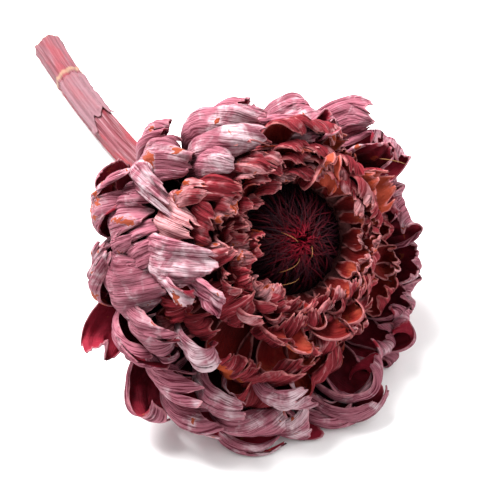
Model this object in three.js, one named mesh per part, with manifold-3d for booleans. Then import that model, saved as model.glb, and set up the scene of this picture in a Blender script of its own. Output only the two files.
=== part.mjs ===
import * as THREE from 'three';
import { mergeVertices } from 'three/addons/utils/BufferGeometryUtils.js';
import Module from 'manifold-3d';

// A dried artichoke head in bloom with a short cut stem, lying on its side.
// Millimetres, z up, the surface it lies on at z = 0. The head leans towards +x
// and faces -y, the stem runs back to -x, +y and rests its cut end on the surface.

const wasm = await Module();
wasm.setup();

// Driving dimensions

const HEAD_HEIGHT = 39.6; // centre of the receptacle above the surface
const HEAD_RISE = 42; // degrees the head axis points up
const HEAD_TURN = -57.4; // degrees of the head axis about z, from +x
const CENTRE_SHIFT = [19.1, -34.1]; // moves the whole thing over the origin

// Receptacle, radius and height along the head axis: the bowl that carries the
// outer bracts, the disc above it that carries the inner ones, the choke's bed.
const BOWL = [[0, -22], [6.5, -22], [21, -17.5], [29, -10], [30.5, 2], [0, 2]];
const DISC = [[0, 2.3], [28.5, 2.3], [28.5, 7.5], [22, 13], [17.6, 12], [15.6, 6.4], [0, 6.4]];
const BED = [[0, 6.7], [14.4, 6.7], [14.2, 8.6], [8, 11], [0, 11.8]];
const CORE_SIDES = 18;
const SEAT = [[21, -15.8], [26, -10.8], [28.6, -5], [28, 0.2]]; // outer roots, neck to rim
// inner roots, from the outside of the disc to the choke
const INNER_SEAT = [[27.6, 6.2], [26.6, 9.4], [24, 11], [21, 11.4], [18.6, 10.8]];
const ROOT_DEPTH = 1.6; // how far a root is sunk into the receptacle

const OUTER_THICKNESS = 1.2;
const INNER_THICKNESS = 0.9;
const NODE_GAP = 0.3; // air left between one node and the next
const FLOOR_DIP = 0.5; // how far a resting blade is pressed into its flat

// Blade cross-sections: cup is the angle from the middle to the edge at the root
// and at the tip, roll what the outer edges add, in degrees; blunt is the share of
// the width left at the tip, taper the power of the outline, rag the depth of the
// tears at the tip as a share of the length.
const FORMS = {
  plain: { cup: [35, 60], roll: 40, blunt: 0.55, taper: 2.4, rag: 0.12 },
  broad: { cup: [35, 60], roll: 40, blunt: 0.7, taper: 2.4, rag: 0.13 },
  spread: { cup: [18, 22], roll: 0, blunt: 0.4, taper: 1.8, rag: 0.1 },
  tube: { cup: [60, 125], roll: 60, blunt: 0.6, taper: 2.4, rag: 0.12 },
  open: { cup: [42, 52], roll: 30, blunt: 0.5, taper: 2.4, rag: 0.12 },
  scale: { cup: [30, 35], roll: 20, blunt: 0.3, taper: 2, rag: 0.06 },
  petal: { cup: [55, 70], roll: 40, blunt: 0.6, taper: 2.2, rag: 0.14 },
  rim: { cup: [35, 45], roll: 20, blunt: 0.6, taper: 2.2, rag: 0.16 },
};

// Large outer bracts that show. Azimuth runs round the head axis from the side the
// head leans to. Columns: azimuth, root (0 neck to 1 rim), radius and height of the
// belly, swing of the tip in degrees, radius and height of the tip, half width, form.
const OUTER = [
  // the left side, curled up over the belly
  [161, 0.0, 47, -14, -4, 58, -16, 10, 'spread'],
  [167, 0.15, 51, -8, -7, 58, 14, 8, 'plain'],
  [175, 0.3, 54, -6, -9, 50, 30, 15.5, 'broad'],
  [153, 0.35, 48, -6, -9, 47, 26, 13, 'broad'],
  [164, 0.7, 49, 10, 1, 49, 34, 8, 'tube'],
  [183, 0.5, 52, 0, -6, 48, 27, 9, 'plain'],
  [187, 0.75, 49, 10, 2, 36, 37, 10, 'plain'],
  [183, 0.0, 55, -12, 5, 60, 8, 9, 'broad'],
  [195, 0.25, 55, -6, 0, 50, 26, 16, 'broad'],
  [208, 0.4, 52, -2, 10, 52, 26, 14, 'plain'],
  [195, 0.85, 45, 14, 9, 45, 31, 7, 'plain'],
  [198, 0.95, 40, 18, 13, 38, 35, 7, 'plain'],
  // the top, tips combed towards the lean
  [141, 0.0, 44, -12, -7, 51, 2, 10, 'spread'],
  [130, 0.35, 41, -4, -15, 32, 28, 13, 'plain'],
  [123, 0.1, 42, -8, -16, 39, 16, 10, 'plain'],
  [108, 0.0, 39, -12, -5, 45, -2, 10, 'spread'],
  [148, 0.8, 41, 12, -12, 34, 30, 9, 'plain'],
  [92, 0.15, 35, -4, -16, 44, 14, 13, 'plain'],
  [65, 0.3, 38, -2, -10, 45, 12, 11, 'plain'],
  // the lower left, tips swung round towards the floor
  [221, 0.65, 47, 6, 12, 49, 24, 10, 'plain'],
  [211, 0.1, 56, -8, 12, 59, 14, 12, 'plain'],
  [206, 0.0, 46, -14, 10, 66, -16, 11, 'spread'],
  [229, 0.0, 49, -12, 11, 70, -8, 11, 'spread'],
  [225, 0.4, 56, 0, 12, 57, 18, 11, 'tube'],
  [235, 0.2, 59, -2, 10, 63, 14, 10, 'tube'],
  [239, 0.6, 52, 4, 11, 57, 20, 10, 'tube'],
  // the bottom, rolled and lying on the surface
  [251, 0.2, 58, 2, 15, 59, 16, 11, 'tube'],
  [258, 0.0, 60, -4, 10, 65, 6, 10, 'tube'],
  [263, 0.75, 46, 4, 10, 50, 22, 12, 'tube'],
  [271, 0.2, 55, 0, 8, 61, 14, 11, 'tube'],
  [285, 0.1, 55, 0, 8, 60, 12, 10, 'tube'],
  [292, 0.35, 51, -2, 11, 60, 14, 13, 'tube'],
  [305, 0.7, 44, -4, 5, 56, 12, 16, 'open'],
  // the right side, seen from inside
  [324, 0.1, 47, -10, 2, 60, -3.5, 13, 'open'],
  [336, 0.3, 44, -6, -1, 56, 6, 13, 'open'],
  [353, 0.15, 45, -8, -2, 49, 6, 12, 'plain'],
  [5, 0.2, 45, -8, 3, 48, 6, 12.5, 'plain'],
  [20, 0.4, 39, -4, 2, 43, 10, 12, 'plain'],
  [36, 0.25, 39, -6, 1, 50, 4, 13, 'open'],
];

// Larger inner bracts that stand apart from the even rows; root is 0 to 1 on the disc.
const INNER = [
  [137, 0.1, 34, 16, -20, 25, 28, 7.5, 'petal'],
  [161, 0.0, 42, 16, -6, 40, 34, 6.5, 'petal'],
  [176, 0.0, 46, 14, -6, 42, 34, 8, 'petal'],
  [228, 0.2, 32, 10, 17, 42, 26, 9, 'open'],
  [250, 0.0, 39, 6, 7, 53, 20, 11, 'open'],
  [268, 0.2, 27, 8, -4, 40, 24, 12, 'open'],
  [296, 0.2, 31, 7, 2, 38, 20, 11, 'open'],
  [338, 0.0, 31, 6, 2, 38, 16, 12, 'open'],
  [81, 0.0, 28, 10, -15, 34, 22, 10, 'petal'],
  [35, 0.0, 28, 6, -3, 36, 18, 11, 'open'],
  [22, 0.1, 25, 7, -8, 31, 19, 10, 'open'],
];

// Even rows of inner bracts round the choke, inside to outside.
const ROWS = [
  { count: 12, root: 1.0, belly: [20.2, 16], tip: [18.8, 21], half: 5, form: 'rim' },
  { count: 12, root: 0.75, belly: [24.2, 17.5], tip: [22.8, 23.5], half: 5.8, form: 'petal' },
  { count: 12, root: 0.5, belly: [28, 18], tip: [27, 25], half: 6.4, form: 'petal' },
  { count: 14, root: 0.2, belly: [32.5, 15.5], tip: [32, 25], half: 6.8, form: 'petal' },
  { count: 12, root: 0.05, belly: [36.5, 10], tip: [37.5, 22], half: 8, form: 'petal' },
];
const ROOM = 13; // degrees left free beside a larger inner bract
const ROOM_FROM = 25; // only in rows whose roots stand outside this radius
const ROW_RISE = 75; // degrees an even row leaves its root at, from straight out
const INNER_RISE = 30;
const SHINGLE = 0.9; // every other bract of a row stands this much further out
const ROW_COMB = 16; // degrees a tip is combed towards the lean at the top and bottom
const ROW_SQUEEZE = 0.065; // share each row is pressed in on the side of the lean

const NECK_SCALES = 9;
const NECK_ROOT = [9, -20.6];
const NECK_BELLY = [19, -20.6];
const NECK_TIP = [30, -18];

const FLORETS = 62;
const FLORET_BED_RADIUS = 13.4;
const FLORET_TOP = 18.5;
const FLORET_THICKNESS = 0.62; // radius of a floret at its foot

// Stem centre line from the neck to the cut end, and its radius at each point.
const STEM_LINE = [
  [-16, 25, 17.5],
  [-29, 41.5, 10.8],
  [-43.5, 58, 7.2],
  [-57, 77.5, 5.4],
  [-66.5, 93, 4.9],
  [-76, 110, 4.8],
  [-82, 121.5, 5.0],
];
const STEM_RADIUS = [5.4, 5.2, 5.1, 5.0, 4.8, 4.75, 4.85, 5.1];
const STEM_SIDES = 18;
const STEM_STEPS = 20;
const STEM_RIB = 0.22;
const STEM_SCAR_AT = 0.86; // share of the length from the neck
const STEM_SCAR_HEIGHT = 0.35;
const SKIN_FROM = 0.52; // the peeled strip of skin, along the stem
const SKIN_TO = 0.84;
const SKIN_HEIGHT = 0.55;

const WIDE_BLADE = 9.5; // half width from which a blade has four cells across
const BLADE_ALONG = 4;
const SMALL_ACROSS = 2;
const SMALL_ALONG = 3;

// Head frame

const rad = THREE.MathUtils.degToRad;
const axis = new THREE.Vector3(
  Math.cos(rad(HEAD_RISE)) * Math.cos(rad(HEAD_TURN)),
  Math.cos(rad(HEAD_RISE)) * Math.sin(rad(HEAD_TURN)),
  Math.sin(rad(HEAD_RISE)),
);
const lean = new THREE.Vector3(1, 0, 0).addScaledVector(axis, -axis.x).normalize();
const across = new THREE.Vector3().crossVectors(axis, lean);
const centre = new THREE.Vector3(0, 0, HEAD_HEIGHT);

function outward(azimuth) {
  const a = rad(azimuth);
  return new THREE.Vector3()
    .addScaledVector(lean, Math.cos(a))
    .addScaledVector(across, Math.sin(a));
}

function at(radius, azimuth, height) {
  return centre.clone().addScaledVector(outward(azimuth), radius).addScaledVector(axis, height);
}

function draw(i, j) {
  const s = Math.sin(i * 12.9898 + j * 78.233) * 43758.5453;
  return s - Math.floor(s);
}

function along(line, t) {
  const x = THREE.MathUtils.clamp(t, 0, 1) * (line.length - 1);
  const k = Math.min(Math.floor(x), line.length - 2);
  return line[k].map((value, n) => value + (line[k + 1][n] - value) * (x - k));
}

// Joining

function solid(positions, triangles) {
  return new wasm.Manifold(new wasm.Mesh({
    numProp: 3,
    vertProperties: new Float32Array(positions.flatMap((p) => [p.x, p.y, p.z])),
    triVerts: new Uint32Array(triangles),
  }));
}

function fuse(solids) {
  return wasm.Manifold.union(solids);
}

// The one body that matters: sealed hollows and loose scraps are left out.
function mainBody(joined) {
  return joined.decompose().sort((a, b) => b.volume() - a.volume())[0];
}

function meshOf(name, body, colour) {
  const made = body.getMesh();
  const geometry = new THREE.BufferGeometry();
  geometry.setAttribute('position', new THREE.BufferAttribute(made.vertProperties, 3));
  geometry.setIndex(new THREE.BufferAttribute(made.triVerts, 1));
  geometry.computeVertexNormals();
  const material = new THREE.MeshStandardMaterial({ color: colour, roughness: 0.8 });
  material.flatShading = true;
  const mesh = new THREE.Mesh(geometry, material);
  mesh.name = name;
  mesh.position.set(CENTRE_SHIFT[0], CENTRE_SHIFT[1], 0);
  return mesh;
}

// A three.js geometry as a solid, its shared vertices merged.
function solidOf(geometry) {
  geometry.deleteAttribute('normal');
  geometry.deleteAttribute('uv');
  const merged = mergeVertices(geometry, 1e-4);
  return new wasm.Manifold(new wasm.Mesh({
    numProp: 3,
    vertProperties: merged.attributes.position.array,
    triVerts: new Uint32Array(merged.index.array),
  }));
}

// A solid turned about the head axis, grown by a margin on request.
function turned(profile, grow = 0) {
  const heights = profile.map((p) => p[1]);
  const middle = (Math.min(...heights) + Math.max(...heights)) / 2;
  const points = profile.map(([r, h]) => new THREE.Vector2(
    r > 0 ? r + grow : 0,
    h + (h > middle ? grow : -grow),
  ));
  const geometry = new THREE.LatheGeometry(points, CORE_SIDES);
  geometry.applyMatrix4(new THREE.Matrix4().makeBasis(across, axis, lean));
  geometry.translate(...centre);
  return solidOf(geometry);
}

// Everything below the surface is cut away with this slab.
function floorSlab() {
  const slab = new THREE.BoxGeometry(600, 600, 50);
  slab.translate(0, 0, -25);
  return solidOf(slab);
}

// Bracts

// The midrib is a cubic curve: out of the root, through the belly, to the tip.
function midrib(bract) {
  const start = at(bract.root[0] - ROOT_DEPTH, bract.azimuth, bract.root[1]);
  const belly = at(bract.belly[0], bract.azimuth, bract.belly[1]);
  const end = at(bract.tip[0], bract.azimuth + bract.swing, bract.tip[1]);
  const reach = belly.distanceTo(start);
  const t = THREE.MathUtils.clamp(reach / (reach + end.distanceTo(belly)), 0.35, 0.75);
  const rise = rad(bract.rise);
  const first = start.clone()
    .addScaledVector(outward(bract.azimuth), (Math.cos(rise) * reach) / 2)
    .addScaledVector(axis, (Math.sin(rise) * reach) / 2);
  const second = belly.clone()
    .addScaledVector(start, -((1 - t) ** 3))
    .addScaledVector(first, -3 * t * (1 - t) ** 2)
    .addScaledVector(end, -(t ** 3))
    .multiplyScalar(1 / (3 * t * t * (1 - t)));
  return new THREE.CubicBezierCurve3(start, first, second, end);
}

// How much of its length a blade loses to the tears at its tip, at u across.
function tear(bract, u) {
  let depth = 0;
  for (let k = 0; k < 3; k += 1) {
    const phase = 2 * Math.PI * draw(bract.seed, k + 5);
    const wave = 0.5 + 0.5 * Math.sin((4.4 + 5.06 * k) * u + phase);
    depth += (wave * bract.form.rag) / (1 + 0.6 * k);
  }
  return depth;
}

// Half the width at t along: narrow root, widest in the middle, blunt tip.
function halfWidth(bract, t) {
  const widest = 0.5;
  const rootShare = 0.42;
  const { blunt, taper } = bract.form;
  if (t < widest) {
    const s = THREE.MathUtils.smoothstep(t, 0, widest);
    return bract.half * (rootShare + (1 - rootShare) * s);
  }
  const e = Math.min((t - widest) / (1 - widest), 1);
  return bract.half * (blunt + (1 - blunt) * Math.sqrt(1 - e ** taper));
}

// A point of the blade's middle surface, t along and u across (-1 to 1).
function bladePoint(bract, curve, t, u) {
  const point = curve.getPoint(t);
  const forward = curve.getTangent(t);
  const round = outward(bract.azimuth + bract.swing * t + 90);
  const side = round.addScaledVector(forward, -round.dot(forward)).normalize();
  const outer = new THREE.Vector3().crossVectors(side, forward);
  const { cup, roll } = bract.form;
  const bend = rad(cup[0] + (cup[1] - cup[0]) * t);
  const slices = 12;
  let x = 0;
  let y = 0;
  for (let k = 0; k < slices; k += 1) {
    const s = (Math.abs(u) * (k + 0.5)) / slices;
    const angle = bend * s + rad(roll) * t * s ** 4;
    x += Math.cos(angle) / slices;
    y += Math.sin(angle) / slices;
  }
  const w = halfWidth(bract, t);
  const wave = 0.6 * t * Math.sin(6 * t + 3 * u + bract.seed);
  point.addScaledVector(side, w * x * u).addScaledVector(outer, wave - w * y * Math.abs(u));
  const soft = 1.2;
  const least = bract.thickness / 2 - FLOOR_DIP;
  if (point.z < least + soft) {
    point.z = least + soft * Math.exp((point.z - least - soft) / soft);
  }
  return point;
}

// The closed blade: the middle surface given its thickness, the same split on both
// faces so that it stays even where it waves.
function blade(planned, cellsAcross, cellsAlong, grow = 0) {
  const curve = midrib(planned);
  const bract = { ...planned, half: planned.half + grow };
  const longer = 1 + grow / curve.getLength();
  const wide = cellsAcross + 1;
  const middle = [];
  for (let i = 0; i <= cellsAlong; i += 1) {
    for (let j = 0; j < wide; j += 1) {
      const u = (2 * j) / cellsAcross - 1;
      const t = (i / cellsAlong) * (1 - tear(bract, u)) * longer;
      middle.push(bladePoint(bract, curve, t, u));
    }
  }
  const normals = middle.map(() => new THREE.Vector3());
  const cells = [];
  for (let i = 0; i < cellsAlong; i += 1) {
    for (let j = 0; j < cellsAcross; j += 1) {
      const a = i * wide + j;
      cells.push([a, a + 1, a + wide + 1], [a, a + wide + 1, a + wide]);
    }
  }
  for (const [a, b, c] of cells) {
    const one = middle[b].clone().sub(middle[a]);
    const two = middle[c].clone().sub(middle[a]);
    const n = one.cross(two);
    [a, b, c].forEach((k) => normals[k].add(n));
  }
  const half = bract.thickness / 2 + grow;
  const count = middle.length;
  const outerFace = middle.map((p, k) => p.clone().addScaledVector(normals[k].normalize(), half));
  const innerFace = middle.map((p, k) => p.clone().addScaledVector(normals[k], -half));
  const triangles = [];
  for (const [a, b, c] of cells) {
    triangles.push(a, b, c, count + a, count + c, count + b);
  }
  const ring = [];
  for (let j = 0; j < cellsAcross; j += 1) ring.push(j);
  for (let i = 0; i < cellsAlong; i += 1) ring.push(i * wide + cellsAcross);
  for (let j = cellsAcross; j > 0; j -= 1) ring.push(cellsAlong * wide + j);
  for (let i = cellsAlong; i > 0; i -= 1) ring.push(i * wide);
  ring.forEach((a, n) => {
    const b = ring[(n + 1) % ring.length];
    triangles.push(a, count + a, count + b, a, count + b, b);
  });
  return solid([...outerFace, ...innerFace], triangles);
}

function gapBetween(a, b) {
  const turn = Math.abs(a - b) % 360;
  return Math.min(turn, 360 - turn);
}

function listed(row, index, seat, thickness, rise) {
  const [azimuth, root, bellyR, bellyH, swing, tipR, tipH, half, form] = row;
  return {
    azimuth,
    swing,
    half,
    thickness,
    rise,
    root: along(seat, root),
    belly: [bellyR, bellyH],
    tip: [tipR, tipH],
    form: FORMS[form],
    seed: index + 1,
  };
}

// One bract of an even row, with small seeded differences between neighbours.
function rowBract(row, k, i) {
  const azimuth = ((i + 0.5 * (k % 2) + 0.3 * draw(i, k)) * 360) / row.count;
  const c = Math.cos(rad(azimuth));
  const s = Math.sin(rad(azimuth));
  const press = 1 - ROW_SQUEEZE * k * Math.max(c, 0);
  const opening = Math.max(-s, 0) * Math.max(0.2, 1 - Math.abs(c));
  const spread = k > 1 ? 0.16 * opening : 0;
  const drop = k > 0 ? 6 * opening : 0;
  const lap = SHINGLE * (i % 2);
  return {
    azimuth,
    swing: -ROW_COMB * s + 10 * (draw(i, k + 9) - 0.5),
    half: row.half * (0.85 + 0.3 * draw(i, k + 11)),
    thickness: INNER_THICKNESS,
    rise: ROW_RISE,
    root: along(INNER_SEAT, row.root),
    belly: [row.belly[0] * press + lap, row.belly[1] - k * Math.max(c, 0)],
    tip: [
      row.tip[0] * press * (1 + spread) + draw(i, k + 3) + lap + 0.6 * k * Math.max(-c, 0),
      row.tip[1] - drop - 1.8 * k * Math.max(c, 0) + 1.5 * k * Math.max(-c, 0)
        + 3 * (draw(i, k + 7) - 0.5),
    ],
    form: FORMS[row.form],
    seed: i * 7 + k,
  };
}

function neckScale(i) {
  const azimuth = (i * 360) / NECK_SCALES + 8 * draw(i, 41);
  return {
    azimuth,
    swing: 12 * (draw(i, 42) - 0.5),
    half: 7.5 + draw(i, 43),
    thickness: OUTER_THICKNESS,
    rise: 0,
    root: NECK_ROOT,
    belly: NECK_BELLY,
    tip: [NECK_TIP[0] + 4 * (draw(i, 44) - 0.5), NECK_TIP[1]],
    form: FORMS.scale,
    seed: i + 61,
  };
}

const outerBracts = OUTER.map((row, i) => listed(row, i, SEAT, OUTER_THICKNESS, 0));
const neckScales = Array.from({ length: NECK_SCALES }, (_, i) => neckScale(i));
const innerBracts = INNER.map((row, i) => listed(row, i + 100, INNER_SEAT, INNER_THICKNESS, INNER_RISE));
const rowBracts = ROWS.flatMap(
  (row, k) => Array.from({ length: row.count }, (_, i) => rowBract(row, k, i)),
).filter((b) => b.root[0] < ROOM_FROM || !INNER.some((row) => gapBetween(row[0], b.azimuth) < ROOM));

function outerHead(grow) {
  return fuse([
    turned(BOWL, grow),
    ...outerBracts.map((b) => blade(b, b.half > WIDE_BLADE ? 4 : 3, BLADE_ALONG, grow)),
    ...neckScales.map((b) => blade(b, SMALL_ACROSS, SMALL_ALONG, grow)),
  ]);
}

function innerHead() {
  return fuse([
    turned(DISC),
    ...innerBracts.map((b) => blade(b, b.half > WIDE_BLADE ? 4 : 3, SMALL_ALONG)),
    ...rowBracts.map((b) => blade(b, SMALL_ACROSS, SMALL_ALONG)),
  ]);
}

// Florets

// A floret: a slim three-sided needle that stands on the bed and bends to the middle.
function floret(i) {
  const foot = FLORET_BED_RADIUS * Math.sqrt((i + 0.5) / FLORETS);
  const azimuth = i * 137.508;
  const top = FLORET_TOP - 3 * draw(i, 2);
  const nearR = 0.8 + 1.6 * draw(i, 3) + 0.5 * foot;
  const bed = 11.6 - 2.6 * (foot / FLORET_BED_RADIUS) ** 2;
  const turn = 20 * (draw(i, 5) - 0.5);
  const curve = new THREE.CubicBezierCurve3(
    at(foot, azimuth, bed - 1),
    at(foot + 0.8, azimuth, bed + 2),
    at(foot * 0.9 + 1, azimuth + turn / 2, top),
    at(nearR, azimuth + turn, top),
  );
  const steps = 3;
  const positions = [];
  const triangles = [];
  for (let k = 0; k < steps; k += 1) {
    const t = k / steps;
    const point = curve.getPoint(t);
    const forward = curve.getTangent(t);
    const side = new THREE.Vector3().crossVectors(forward, outward(azimuth + 90)).normalize();
    const other = new THREE.Vector3().crossVectors(forward, side);
    const thick = FLORET_THICKNESS * (1 - 0.45 * t);
    for (let n = 0; n < 3; n += 1) {
      const a = rad(120 * n);
      positions.push(point.clone()
        .addScaledVector(side, thick * Math.cos(a))
        .addScaledVector(other, thick * Math.sin(a)));
    }
  }
  positions.push(curve.getPoint(1));
  triangles.push(0, 2, 1);
  for (let k = 0; k + 1 < steps; k += 1) {
    for (let n = 0; n < 3; n += 1) {
      const a = 3 * k + n;
      const b = 3 * k + ((n + 1) % 3);
      triangles.push(a, b, b + 3, a, b + 3, a + 3);
    }
  }
  const last = 3 * (steps - 1);
  for (let n = 0; n < 3; n += 1) {
    triangles.push(last + n, last + ((n + 1) % 3), 3 * steps);
  }
  return solid(positions, triangles);
}

function tuft() {
  return fuse([turned(BED), ...Array.from({ length: FLORETS }, (_, i) => floret(i))]);
}

// Stem

// One ribbed length. The scar is a low ring; the skin is a raised strip on the upper
// side that ends in a torn lip towards the head.
function stem() {
  const neck = at(0, 0, BOWL[0][1] - NODE_GAP);
  const points = [neck, at(0, 0, BOWL[0][1] - 6), ...STEM_LINE.map((p) => new THREE.Vector3(...p))];
  const curve = new THREE.CatmullRomCurve3(points, false, 'centripetal');
  const stations = Array.from({ length: STEM_STEPS + 1 }, (_, k) => k / STEM_STEPS);
  stations.push(SKIN_FROM - 0.004, STEM_SCAR_AT - 0.01, STEM_SCAR_AT + 0.01);
  stations.sort((a, b) => a - b);
  const positions = [];
  const triangles = [];
  stations.forEach((t) => {
    const point = curve.getPointAt(t);
    const forward = t === 0 ? axis.clone().negate() : curve.getTangentAt(t);
    const side = new THREE.Vector3().crossVectors(forward, new THREE.Vector3(0, 0, 1)).normalize();
    const up = new THREE.Vector3().crossVectors(side, forward);
    const [base] = along(STEM_RADIUS.map((r) => [r]), t);
    const scar = STEM_SCAR_HEIGHT * Math.exp(-(((t - STEM_SCAR_AT) / 0.012) ** 2));
    for (let n = 0; n < STEM_SIDES; n += 1) {
      const a = (360 * n) / STEM_SIDES;
      const rib = STEM_RIB * (n % 2 ? 1 : -1) * (0.6 + 0.8 * draw(n, 21));
      const skin = t >= SKIN_FROM && t <= SKIN_TO && a > 40 && a < 165 ? SKIN_HEIGHT : 0;
      const r = base + rib + scar + skin;
      positions.push(point.clone()
        .addScaledVector(side, r * Math.cos(rad(a)))
        .addScaledVector(up, r * Math.sin(rad(a))));
    }
  });
  const rings = stations.length;
  for (let k = 0; k + 1 < rings; k += 1) {
    for (let n = 0; n < STEM_SIDES; n += 1) {
      const a = k * STEM_SIDES + n;
      const b = k * STEM_SIDES + ((n + 1) % STEM_SIDES);
      triangles.push(a, b + STEM_SIDES, b, a, a + STEM_SIDES, b + STEM_SIDES);
    }
  }
  const cutDepth = 0.8; // the dried pith has sunk in at the cut
  const first = positions.push(neck.clone()) - 1;
  const inward = curve.getTangentAt(1).multiplyScalar(-cutDepth);
  const last = positions.push(curve.getPointAt(1).add(inward)) - 1;
  const endRing = (rings - 1) * STEM_SIDES;
  for (let n = 0; n < STEM_SIDES; n += 1) {
    const m = (n + 1) % STEM_SIDES;
    triangles.push(first, n, m);
    triangles.push(last, endRing + m, endRing + n);
  }
  return solid(positions, triangles);
}

// The whole thing

const floor = floorSlab();
const stemBody = mainBody(stem().subtract(floor));
const outerBody = mainBody(outerHead(0).subtract(floor));
const innerBody = mainBody(innerHead().subtract(outerHead(NODE_GAP)));
const tuftBody = mainBody(tuft());

const artichoke = new THREE.Group();
artichoke.name = 'artichoke';
artichoke.add(
  meshOf('stem', stemBody, 0xb9727f),
  meshOf('outer_bracts', outerBody, 0x9a5a6c),
  meshOf('inner_bracts', innerBody, 0x8a3f36),
  meshOf('florets', tuftBody, 0x3a0a1c),
);

export default artichoke;
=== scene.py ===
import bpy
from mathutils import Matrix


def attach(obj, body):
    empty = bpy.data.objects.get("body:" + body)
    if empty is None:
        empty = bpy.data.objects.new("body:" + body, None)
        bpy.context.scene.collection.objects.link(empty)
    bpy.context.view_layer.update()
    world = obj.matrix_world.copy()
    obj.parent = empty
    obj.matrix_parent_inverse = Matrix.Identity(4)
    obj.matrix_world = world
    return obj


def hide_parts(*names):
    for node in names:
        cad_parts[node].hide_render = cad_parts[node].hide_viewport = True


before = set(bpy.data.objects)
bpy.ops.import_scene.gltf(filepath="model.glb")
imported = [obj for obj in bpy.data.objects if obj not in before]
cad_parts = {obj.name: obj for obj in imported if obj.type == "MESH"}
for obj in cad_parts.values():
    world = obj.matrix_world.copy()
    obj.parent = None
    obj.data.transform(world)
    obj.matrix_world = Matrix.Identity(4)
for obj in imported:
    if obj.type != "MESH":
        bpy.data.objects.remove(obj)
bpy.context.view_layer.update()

import bpy
import numpy as np
from mathutils import Vector

# Stem
# A cut length of flower stalk, dried hard and dyed rose. It is ribbed lengthwise,
# has a scar band near the cut, and grows into the base of the head.

MM = 0.001

# The head's axis rises from the surface and turns to the front and the right. A place on
# the head is a radius from that axis, an azimuth round it and a height along it.
HEAD_CENTRE = np.array([19.1, -34.1, 39.6])
HEAD_RISE = np.radians(42)
HEAD_TURN = np.radians(-57.4)
AXIS = np.array([
    np.cos(HEAD_RISE) * np.cos(HEAD_TURN),
    np.cos(HEAD_RISE) * np.sin(HEAD_TURN),
    np.sin(HEAD_RISE),
])
LEAN = np.array([1.0, 0.0, 0.0]) - AXIS * AXIS[0]
LEAN /= np.linalg.norm(LEAN)
ACROSS = np.cross(AXIS, LEAN)


def outward(azimuth):
    """The direction straight out from the head's axis, at an azimuth in degrees."""
    a = np.radians(np.asarray(azimuth, float))[..., None]
    return LEAN * np.cos(a) + ACROSS * np.sin(a)


def at(radius, azimuth, height):
    """The point at this radius, azimuth and height on the head."""
    radius = np.asarray(radius, float)[..., None]
    height = np.asarray(height, float)[..., None]
    return HEAD_CENTRE + outward(azimuth) * radius + AXIS * height


def unit(v):
    return v / np.maximum(np.linalg.norm(v, axis=-1, keepdims=True), 1e-9)


def smooth(x, low=0.0, high=1.0):
    """0 below low, 1 above high, and smooth between."""
    x = np.clip((np.asarray(x, float) - low) / (high - low), 0, 1)
    return x * x * (3 - 2 * x)


SHUFFLE = (12.9898, 78.233, 43758.5453)


def draw(i, j):
    """The same number from 0 to 1 for the same i and j, each time."""
    s = np.sin(i * SHUFFLE[0] + j * SHUFFLE[1]) * SHUFFLE[2]
    return s - np.floor(s)


def ripple(x, seed):
    """Smooth uneven waves about one unit long, between -1 and 1."""
    k = np.floor(x)
    f = smooth(x - k)
    return 2 * (draw(k, seed) * (1 - f) + draw(k + 1, seed) * f) - 1


ROW_SHIFT, ROW_SEED = 0.37, 1.7


def crumple(x, y, seed):
    """The same over a surface, in rows one unit apart that blend into each other."""
    k = np.floor(y)
    f = smooth(y - k)
    here, above = [ripple(x + ROW_SHIFT * row, seed + ROW_SEED * row) for row in (k, k + 1)]
    return here * (1 - f) + above * f


def colour(red, green, blue):
    """A colour as a paint chart gives it, 0 to 255, for a shader."""
    parts = [c / 255 for c in (red, green, blue)]
    return (*[c / 12.92 if c < 0.04045 else ((c + 0.055) / 1.055) ** 2.4 for c in parts], 1.0)


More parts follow.
